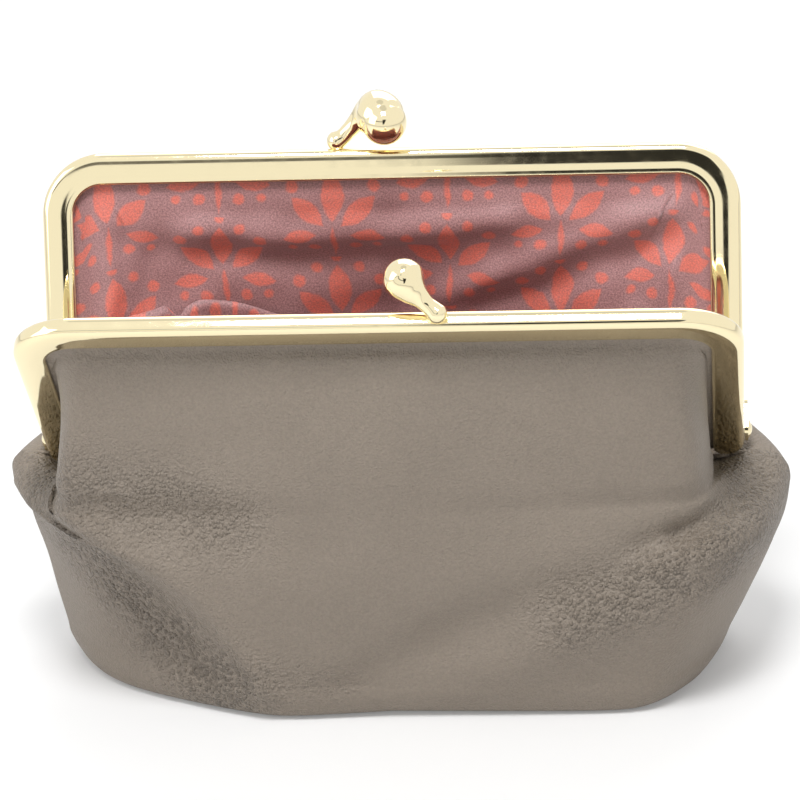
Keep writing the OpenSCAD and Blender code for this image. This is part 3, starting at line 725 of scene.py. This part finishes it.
def channel_profile():
    """Outline of the rolled channel as (r, q): r out towards the spine, q out from the mating face."""
    spine, lip = CORNER_R, CORNER_R - FACE_W
    edge, bead, dome, hollow = 1.7, 0.52, 0.22, 0.16
    q0, q1 = MATE_GAP, MATE_GAP + CHANNEL_T
    bead_r, edge_r = lip + bead, spine - edge
    outer = arc((bead_r, q1 - bead), bead, 200, 90, 8)
    for k in range(1, 7):
        t = k / 7
        crown = dome * (1 - 4 * t * (1 - t)) * 0.5 * (1 if t > 0.5 else 0.3)
        outer.append((bead_r + (edge_r - bead_r) * t, q1 - crown))
    outer += arc((edge_r, q1 - dome * 0.5 - edge), edge, 90, 0, 8)
    outer += arc((edge_r, q0 + edge), edge, 0, -90, 8)
    for k in range(1, 8):
        t = k / 8
        outer.append((edge_r + (bead_r - edge_r) * t, q0 + hollow * (1 - 2 * t) ** 2 - hollow * (1 - t)))
    outer += arc((bead_r, q0 + bead), bead, 270, 120, 6)
    wall, mouth, rounding = STRIP_T + 0.05, lip + 1.4, 0.7
    depth, low, high = spine - STRIP_T, q0 + wall, q1 - wall
    inner = [(mouth, low)]
    inner += arc((depth - rounding, low + rounding), rounding, -90, 0, 4)
    inner += arc((depth - rounding, high - rounding), rounding, 0, 90, 4)
    inner.append((mouth, high))
    return outer + inner


# Where the channel's legs end above the hinge axis, and the length of the front half's rounded noses
LEG_END = {FRONT: -3.0, BACK: 3.4}
NOSE = {FRONT: 3.4, BACK: 0.0}
NOSE_STEPS = 8


def frame_half(side, material):
    """One rolled channel: a leg, a spun corner, the bar, another corner and the other leg."""
    nose = NOSE[side]
    leg = CORNER_V - LEG_END[side] - nose
    bm = bmesh.new()
    ring = [bm.verts.new((CORNER_X + r, LEG_END[side], q)) for r, q in channel_profile()]
    start = [bm.edges.new(pair) for pair in zip(ring, ring[1:] + ring[:1])]

    def drag(edges, move):
        verts, edges = pull(bm, edges)
        bmesh.ops.translate(bm, vec=move, verts=verts)
        return edges

    def turn(edges, centre):
        made = bmesh.ops.spin(bm, geom=edges, cent=centre, axis=(0, 0, 1), dvec=(0, 0, 0),
                              angle=math.pi / 2, steps=20)
        return of_kind(made["geom_last"], BMEdge)

    nose_moves = [nose / NOSE_STEPS] * NOSE_STEPS if nose else []
    edges = list(start)
    for move in (*nose_moves, leg):
        edges = drag(edges, (0, move, 0))
    edges = turn(edges, (CORNER_X, CORNER_V, 0))
    edges = drag(edges, (-2 * CORNER_X, 0, 0))
    edges = turn(edges, (-CORNER_X, CORNER_V, 0))
    for move in (leg, *nose_moves):
        edges = drag(edges, (0, -move, 0))
    if nose:
        round_noses(bm, LEG_END[side] + nose, nose)
    for loop in (start, edges):
        bmesh.ops.contextual_create(bm, geom=loop)
    obj = on_its_half(f"{SIDE_NAME[side]}_frame_polished", bm, side, material, 50)
    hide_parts(f"{SIDE_NAME[side]}_frame")


def round_noses(bm, top, nose):
    """Narrows the legs' ends to rounded noses, below a height."""
    centre = HALF_W - FACE_W / 2
    for vert in bm.verts:
        low = (top - vert.co.y) / nose
        if low > 0:
            shrink = math.sqrt(max(0.0, 1 - (low * 0.96) ** 2)) ** 0.8
            vert.co.x = math.copysign(centre + (abs(vert.co.x) - centre) * shrink, vert.co.x)


def half_place(side):
    """From a flat frame half (x, v, q, in millimetres) to its place in the object, in metres."""
    origin = on_half(side, 0, 0, 0)
    columns = [on_half(side, *axis) - origin for axis in ((1, 0, 0), (0, 1, 0), (0, 0, 1))]
    rows = [[*(column[r] * MM for column in columns), origin[r] * MM] for r in range(3)]
    return Matrix([*rows, [0, 0, 0, 1]])


def on_its_half(name, bm, side, material, sharp=None):
    """Makes a gold piece of what was drawn on a flat frame half, and lets it ride on that half."""
    bmesh.ops.transform(bm, matrix=half_place(side), verts=bm.verts)
    obj = new_object(name, bm, material, sharp)
    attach(obj, BODY[side])
    return obj


def hinge_plates(material):
    """The back half's two ear plates, which carry the hinge rivets outside the front half's ears."""
    radius, flat_from, height, shift, gap, thick = 2.6, 2.4, 6.4, 2.45, 0.12, 0.72
    bm = bmesh.new()
    for hand in (-1, 1):
        verts = bmesh.ops.create_circle(bm, segments=32, radius=radius, cap_ends=True)["verts"]
        for vert in verts:
            across, up = vert.co.x, vert.co.y
            if up > 0 and abs(across) < flat_from:
                up *= height / radius
            vert.co = (hand * (HALF_W + gap), up, across + (shift if up > 3 else 0))
        faces = list({face for vert in verts for face in vert.link_faces})
        grown = bmesh.ops.extrude_face_region(bm, geom=faces)["geom"]
        bmesh.ops.translate(bm, vec=(hand * thick, 0, 0), verts=of_kind(grown, BMVert))
    on_its_half("hinge_plates", bm, BACK, material, 40)


def loft(rings, segments):
    """A closed round body through rings, each a centre and a radius."""
    bm = bmesh.new()
    number = bm.verts.layers.int.new("number")
    unit = bmesh.ops.create_circle(bm, segments=segments, radius=1, cap_ends=True)["verts"]
    shape = [v.co.copy() for v in unit]
    for k, vert in enumerate(unit):
        vert[number] = k
    verts, edges = unit, list({e for v in unit for e in v.link_edges})
    turn, before = None, None
    for k, (centre, radius) in enumerate(rings):
        ahead = Vector(rings[min(k + 1, len(rings) - 1)][0] - rings[max(k - 1, 0)][0]).normalized()
        turn = ahead.to_track_quat("Z", "Y") if turn is None else before.rotation_difference(ahead) @ turn
        before = ahead
        if k:
            verts, edges = pull(bm, edges)
        place = Matrix.Translation(Vector(centre)) @ turn.to_matrix().to_4x4()
        for vert in verts:
            vert.co = place @ (shape[vert[number]] * radius)
    bmesh.ops.contextual_create(bm, geom=edges)
    bm.verts.layers.int.remove(number)
    return bm


# Spines of the two kissing clasps, from the foot to the ball, as (x, up, q, radius)
CLASP_STOPS = {
    FRONT: (
        (13.5, 2.0, 2.1, 2.15), (12.7, 2.4, 1.4, 1.9), (11.5, 2.9, 0.5, 1.75), (10.3, 3.4, -0.6, 2.1),
        (8.8, 4.1, -1.9, 3.1), (7.5, 4.6, -3.4, 4.1), (6.9, 4.7, -4.3, 4.4),
    ),
    BACK: (
        (-11.2, 1.7, 2.4, 2.2), (-10.2, 2.3, 2.3, 1.9), (-8.6, 3.8, 2.1, 1.8), (-6.4, 5.9, 1.6, 2.3),
        (-4.2, 7.5, 0.6, 3.6), (-2.2, 7.9, -1.2, 5.0), (-1.1, 7.0, -3.0, 5.3), (-0.3, 5.9, -4.2, 4.9),
    ),
}
SPINE_RINGS, FOOT_RINGS, BALL_RINGS, CLASP_SEGMENTS = 40, 12, 16, 48


def clasp(side, material):
    """A kissing ball on its arm: rings along a curved spine, closed by rounded ends."""
    stops = np.array(CLASP_STOPS[side])
    knots = np.concatenate([[0], np.cumsum(np.linalg.norm(np.diff(stops[:, :3], axis=0), axis=1))])
    spine = catmull_rom(knots, stops, np.linspace(0, knots[-1], SPINE_RINGS)) + [0, FRAME_H, 0, 0]
    places, radii = spine[:, :3], spine[:, 3]
    back, ahead = places[0] - places[1], places[-1] - places[-2]
    back /= np.linalg.norm(back)
    ahead /= np.linalg.norm(ahead)
    rings = []
    for k in range(FOOT_RINGS):
        a = math.pi / 2 * (1 - (k + 0.02) / FOOT_RINGS)
        rings.append((places[0] + back * radii[0] * math.sin(a), radii[0] * math.cos(a)))
    rings += list(zip(places, radii))
    for k in range(BALL_RINGS):
        a = math.pi / 2 * (k + 0.98) / BALL_RINGS
        rings.append((places[-1] + ahead * radii[-1] * math.sin(a), radii[-1] * max(math.cos(a), 0.02)))
    obj = on_its_half(f"{SIDE_NAME[side]}_clasp_polished", loft(rings, CLASP_SEGMENTS), side, material)
    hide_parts(f"{SIDE_NAME[side]}_clasp")


# The pieces' operators

def colour_property(name, description, default):
    """A colour that a user would change."""
    return FloatVectorProperty(name=name, description=description, default=default,
                               subtype="COLOR", size=3, min=0, max=1)


class PurseLooks(bpy.types.PropertyGroup):
    """Colours that a user would change."""

    gold: colour_property("Gold", "Colour of the plated metal", (0.92, 0.81, 0.53))
    leather: colour_property("Leather", "Colour of the leather", (0.229, 0.191, 0.153))
    satin: colour_property("Satin", "Ground colour of the lining", (0.385, 0.200, 0.200))
    print_ink: colour_property("Print", "Colour of the lining's print", (0.92, 0.215, 0.150))
    thread: colour_property("Thread", "Colour of the sewing thread", (0.24, 0.20, 0.16))
    paper: colour_property("Paper cord", "Colour of the paper cord", (0.55, 0.42, 0.26))
    fleece: colour_property("Interlining", "Colour of the interlining", (0.75, 0.71, 0.65))


class PurseSizes(bpy.types.PropertyGroup):
    """Sizes that a user would change."""

    pocket_height: FloatProperty(
        name="Pocket height", description="Height of the pocket's edge above the hinge axis",
        unit="LENGTH", default=0.027, min=0.02, max=0.035)
    lining_slack: FloatProperty(
        name="Lining slack", description="How far the lining's folds stand off the leather",
        unit="LENGTH", default=0.0028, min=0.0, max=0.005)


class PURSE_OT_frame(bpy.types.Operator):
    """Make the two frame halves and their hinge plates"""

    bl_idname = "purse.frame"
    bl_label = "Frame"

    def execute(self, context):
        gold = gold_finish(context.scene.purse_looks.gold)
        for side in (FRONT, BACK):
            frame_half(side, gold)
        hinge_plates(gold)
        dress(gold, "left_hinge_rivet", "right_hinge_rivet", "front_clasp_rivet", "back_clasp_rivet")
        return {"FINISHED"}


class PURSE_OT_clasps(bpy.types.Operator):
    """Make the two kissing clasps"""

    bl_idname = "purse.clasps"
    bl_label = "Clasps"

    def execute(self, context):
        for side in (FRONT, BACK):
            clasp(side, bpy.data.materials["polished_gold"])
        return {"FINISHED"}


class PURSE_OT_leather(bpy.types.Operator):
    """Make the two leather panels"""

    bl_idname = "purse.leather"
    bl_label = "Leather"

    def execute(self, context):
        leather = leather_finish(context.scene.purse_looks.leather)
        for side, name in SIDE_NAME.items():
            net = panel_points(side, 90, 150)
            obj = cloth(f"{name}_leather", net, LEATHER_T, leather, side, crush_marks(net, side))
            soft(obj, side, f"outer_{name}_panel", "leather")
            held(net)
        return {"FINISHED"}


class PURSE_OT_lining(bpy.types.Operator):
    """Make the interlinings, the satin lining and the slip pocket"""

    bl_idname = "purse.lining"
    bl_label = "Lining"

    def execute(self, context):
        looks, sizes = context.scene.purse_looks, context.scene.purse_sizes
        satin = satin_finish(looks.satin, looks.print_ink)
        fleece = plain_finish("bonded_interlining", looks.fleece, 0.9, 1.5)
        for side, name in SIDE_NAME.items():
            net = panel_points(side, 45, 75, LEATHER_T + 0.05)[9:-8, 10:-10]
            obj = cloth(f"{name}_interlining_sheet", net, FLEECE_T, fleece, side)
            soft(obj, side, f"{name}_interlining", "fleece")
            held(net)
            net = lining_net(side, 80, 130, sizes.lining_slack / MM * (1 if side == BACK else 0.35))
            obj = cloth(f"{name}_satin", net, LINING_T, satin, side)
            soft(obj, side, f"{name}_lining", "satin")
            held(net)
        net = pocket_net(sizes)
        obj = cloth("slip_pocket_satin", net, POCKET_T, satin, BACK)
        soft(obj, BACK, "slip_pocket", "satin")
        held(net)
        return {"FINISHED"}


class PURSE_OT_thread(bpy.types.Operator):
    """Dress the stitching and the paper cords"""

    bl_idname = "purse.thread"
    bl_label = "Thread and cord"

    def execute(self, context):
        looks = context.scene.purse_looks
        thread = plain_finish("sewing_thread", looks.thread, 0.6, 4.0)
        dress(thread, "left_side_stitching", "right_side_stitching", "bottom_stitching")
        pocket_thread(context.scene.purse_sizes, thread)
        paper = plain_finish("paper_cord", looks.paper, 0.85, 2.0)
        dress(paper, "front_paper_cord", "back_paper_cord")
        return {"FINISHED"}


class PURSE_OT_stage(bpy.types.Operator):
    """Set the table, the lamps, the sky and the camera"""

    bl_idname = "purse.stage"
    bl_label = "Stage"

    def execute(self, context):
        scene = context.scene
        scene.view_settings.view_transform = "Standard"
        make_floor()
        make_sky(scene)
        lamp("key_light", (0.0, -0.46, 1.02), 0.32, 8.0)
        lamp("fill_light", (-0.85, -0.42, 0.5), 0.7, 2.6)
        lamp("back_light", (0.1, 0.7, 0.7), 0.8, 3.0)
        make_camera(scene)
        return {"FINISHED"}


def dress(material, *names):
    """Gives CAD nodes a finish."""
    for name in names:
        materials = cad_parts[name].data.materials
        materials.clear()
        materials.append(material)


# Bands of pebbles on the front leather as (path of x and z, width, strength)
PEBBLED = (
    ([(-74, 38), (-62, 32), (-48, 18), (-36, 4)], 9.5, 1.15),
    ([(-66, 56), (-50, 53), (-34, 47)], 8.5, 0.65),
    ([(80, 37), (64, 34.5), (40, 25)], 8.5, 0.9),
)


def patch(net, x, z, half_w, half_h):
    """1 in the middle of a soft patch on both sides of a panel, falling to 0 round it."""
    return np.exp(-(((np.abs(net[..., 0]) - x) / half_w) ** 2 + ((net[..., 2] - z) / half_h) ** 2))


def crush_marks(net, side):
    """Where the leather is pebbled by crushing, which also places painted shade between its pebbles, and
    where it puckers under the frame.
    """
    x, z = net[..., 0], net[..., 2]
    if side == FRONT:
        crush = (0.9 + 0.3 * hash_noise(net, 5.0, 31)) * folded(net, PEBBLED)
        crush += fold(net, [(-10, 10), (-40, 12)], 5.0, 0.3) + 0.2 * patch(net, 76, 46, 8, 4)
    else:
        crush = 0.8 * patch(net, 66, 28, 18, 12)
    pucker = smooth(FRAME_H - 20, FRAME_H - 8, in_half(side, net)[0])
    pucker += 0.6 * np.exp(-(((z - 46) / 3) ** 2)) * smooth(50, 66, np.abs(x))
    return {"crush": np.clip(crush, 0, 1), "pucker": np.clip(pucker, 0, 1)}


# Folds of the back lining, as those of the leather; the front lining shows none
LINING_FOLDS = {
    FRONT: (),
    BACK: (
        ([(-44, 93), (-22, 90.5), (6, 91.5), (24, 94)], 3.0, 1.0),
        ([(-50, 88), (-20, 84.5), (10, 86)], 4.0, -0.9),
        ([(12, 76), (34, 86), (62, 97)], 3.4, 1.0),
        ([(22, 74), (44, 82), (64, 90)], 3.6, -0.8),
        ([(-66, 96), (-62, 80), (-66, 66)], 2.2, 0.8),
        ([(66, 96), (63, 82), (66, 68)], 2.2, 0.8),
    ),
}


def lining_net(side, across, up, slack):
    """The lining hangs inside the leather with folds of its own."""
    net = panel_points(side, across, up, LINING_DEPTH)
    d = folded(net, LINING_FOLDS[side]) + 0.45 * hash_noise(net * SQUEEZE, 9.0, 11 + side)
    d += 0.25 * hash_noise(net * SQUEEZE, 4.5, 21 + side)
    amount = np.maximum(0, 0.55 + 0.6 * d) * slack * smooth(3, 12, net[..., 2]) * free_of_frame(net, side)
    return net - net_normals(net, side) * amount[..., None]


# How far the pocket's mouth sags at places across it: two sections with a tack between them
MOUTH_AT = (-90, -76, -71, -64.5, -62.8, -61, -57, -53, -46, -40, -34, -26, 90)
MOUTH_SAG = (-2.7, -2.7, -2.2, -1.2, -0.9, -3.1, -1.4, -0.2, -0.7, -1.8, -3.8, -6.3, -6.5)
# How many rows of the pocket turn forward at its mouth, and how far
LIP_ROWS, LIP_OUT = 6, 1.8


def pocket_net(sizes):
    """Rows of the back lining up to the pocket's edge, a little further in, with a sagging mouth."""
    lining = lining_net(BACK, 80, 130, sizes.lining_slack / MM)
    inner = lining - net_normals(lining, BACK) * (LINING_T + 0.25)
    top = HINGE_Z + sizes.pocket_height / MM
    rows, first, margin = 46, int(0.30 * len(inner)), 12
    columns = []
    for line in np.swapaxes(inner[first:, margin:-margin], 0, 1):
        height = top + float(catmull_rom(MOUTH_AT, MOUTH_SAG, line[-1:, 0])[0])
        z = line[:, 2]
        end = np.argmax(z > height) if (z > height).any() else len(z) - 1
        t = np.linspace(0, end - 1 + (height - z[end - 1]) / max(z[end] - z[end - 1], 1e-6), rows)
        columns.append(np.stack([np.interp(t, np.arange(len(line)), line[:, c]) for c in range(3)], -1))
    made = np.stack(columns, axis=1)
    lip = smooth(rows - LIP_ROWS, rows - 1, np.arange(rows))[:, None]
    made[..., 1] -= LIP_OUT * lip * (0.75 + 0.25 * np.sin(made[..., 0] / 5.0))
    return made


def pocket_thread(sizes, material):
    """The thread down one side of the pocket, along its foot and up the other side."""
    radius, inset, below_mouth = 0.22, 2, 8
    net = pocket_net(sizes)
    net = (net - net_normals(net, BACK) * 0.4)[:-below_mouth]
    path = np.vstack([net[::-1, inset], net[inset, inset + 1:-inset - 1], net[:, -inset - 1]])
    bm = loft([(p, radius) for p in path], 6)
    bmesh.ops.scale(bm, vec=(MM, MM, MM), verts=bm.verts)
    soft(new_object("pocket_thread", bm, material), BACK, "pocket_stitching", "thread")


def rays(tree, kind):
    """1 for rays of a kind, and 0 for others."""
    return Value(tree, tree.nodes.new("ShaderNodeLightPath").outputs[f"Is {kind} Ray"])


def make_floor():
    """A pale table that keeps the purse's shadow and clears to white."""
    glow_share = 0.18
    bm = bmesh.new()
    bmesh.ops.create_grid(bm, x_segments=1, y_segments=1, size=3.0)
    finish = Finish("pale_table", base_color=(0.9, 0.9, 0.9, 1), roughness=0.6)
    tree = finish.tree
    seen = finish.zero.maths("MAXIMUM", rays(tree, "Camera"), rays(tree, "Glossy"))
    shaders = (Value(tree, node.outputs[0]) for node in (finish.shader, tree.nodes.new("ShaderNodeEmission")))
    both = finish.zero.node("ShaderNodeMixShader", seen * glow_share, *shaders)
    tree.links.new(both.outputs[0], tree.nodes["Material Output"].inputs[0])
    floor = new_object("table_top", bm, finish.material)
    floor.location.z = -0.0002


def make_sky(scene):
    """White round the purse, with a few soft darker bands that the metal mirrors."""
    world = bpy.data.worlds.new("studio")
    scene.world = world
    world.use_nodes = True
    tree = world.node_tree
    background = tree.nodes["Background"]
    where = tree.nodes.new("ShaderNodeTexCoord").outputs["Generated"]
    parts = Value(tree, None).node("ShaderNodeSeparateXYZ", Value(tree, where))
    x, y, z = (Value(tree, o) for o in parts.outputs)
    facing = (y * -1).ramp(0.25, 0.5)
    right = x.ramp(-0.075, -0.045)
    slab = (z - (x + 0.02) * (x + 0.02) * 6).ramp(0.10, 0.12) * (1 - z.ramp(0.48, 0.53))
    line = z.ramp(0.30, 0.32) * (1 - z.ramp(0.36, 0.38)) * (1 - right)
    low = z.ramp(-0.16, -0.14) * (1 - z.ramp(-0.09, -0.07))
    dark = facing * (slab * right + line * 0.85 + low * 0.5)
    mirrored = 1.0 - dark * 0.97 - z.ramp(0.97, 0.98) * 0.25
    glossy, camera = rays(tree, "Glossy"), rays(tree, "Camera")
    strength = glossy * mirrored + (1 - glossy) * (camera + (1 - camera) * 0.5)
    feed(tree, background.inputs["Strength"], strength)
    feed(tree, background.inputs["Color"], (1, 1, 1, 1))


def lamp(name, place, size, power):
    """A soft square lamp that looks at the purse."""
    data = bpy.data.lights.new(name, "AREA")
    data.size, data.energy = size, power
    obj = bpy.data.objects.new(name, data)
    obj.location = place
    obj.rotation_euler = (Vector((0, 0, 0.05)) - Vector(place)).to_track_quat("-Z", "Y").to_euler()
    bpy.context.collection.objects.link(obj)


# The camera that was fitted to the photograph: the picture in pixels, then the distance in metres from
# the hinge axis, and how far it is turned, tipped and rolled in degrees
VIEW_PX, FOCAL_PX, CENTRE_X_PX, CENTRE_Y_PX = 800, 4210.5, 394.72, 433.86
CAMERA_AWAY, CAMERA_ANGLES = 0.9189, (-4.70, 22.0, -2.61)
SENSOR = 36.0


def make_camera(scene):
    """The photograph's view: a long lens, a little above and to the right."""
    turn, tip, roll = (math.radians(a) for a in CAMERA_ANGLES)
    look = (Matrix.Rotation(-turn, 4, "Z") @ Matrix.Rotation(math.pi / 2 - tip, 4, "X")
            @ Matrix.Rotation(roll, 4, "Z"))
    data = bpy.data.cameras.new("camera")
    data.sensor_width = SENSOR
    data.lens = SENSOR * FOCAL_PX / VIEW_PX
    data.shift_x = (VIEW_PX / 2 - CENTRE_X_PX) / VIEW_PX
    data.shift_y = (CENTRE_Y_PX - VIEW_PX / 2) / VIEW_PX
    data.clip_start, data.clip_end = 0.05, 20
    camera = bpy.data.objects.new("camera", data)
    to_hinge = Matrix.Translation((0, 0, HINGE_Z * MM))
    camera.matrix_world = to_hinge @ look @ Matrix.Translation((0, 0, CAMERA_AWAY))
    bpy.context.collection.objects.link(camera)
    scene.camera = camera


class PURSE_PT_panel(bpy.types.Panel):
    """Lists the purse's sizes, colours and pieces."""

    bl_label = "Kiss lock purse"
    bl_idname = "PURSE_PT_panel"
    bl_space_type = "VIEW_3D"
    bl_region_type = "UI"
    bl_category = "Purse"

    def draw(self, context):
        layout = self.layout
        for group in (context.scene.purse_sizes, context.scene.purse_looks):
            for key in group.__annotations__:
                layout.prop(group, key)
        for step in STEPS:
            layout.operator(step.bl_idname)


STEPS = (PURSE_OT_frame, PURSE_OT_clasps, PURSE_OT_leather, PURSE_OT_lining, PURSE_OT_thread, PURSE_OT_stage)
CLASSES = (PurseLooks, PurseSizes, *STEPS, PURSE_PT_panel)


def register():
    for cls in CLASSES:
        bpy.utils.register_class(cls)
    bpy.types.Scene.purse_looks = PointerProperty(type=PurseLooks)
    bpy.types.Scene.purse_sizes = PointerProperty(type=PurseSizes)


def unregister():
    del bpy.types.Scene.purse_sizes
    del bpy.types.Scene.purse_looks
    for cls in reversed(CLASSES):
        bpy.utils.unregister_class(cls)


def main():
    register()
    bpy.ops.purse.frame()
    bpy.ops.purse.clasps()
    bpy.ops.purse.leather()
    bpy.ops.purse.lining()
    bpy.ops.purse.thread()
    bpy.ops.purse.stage()


if __name__ == "__main__":
    main()
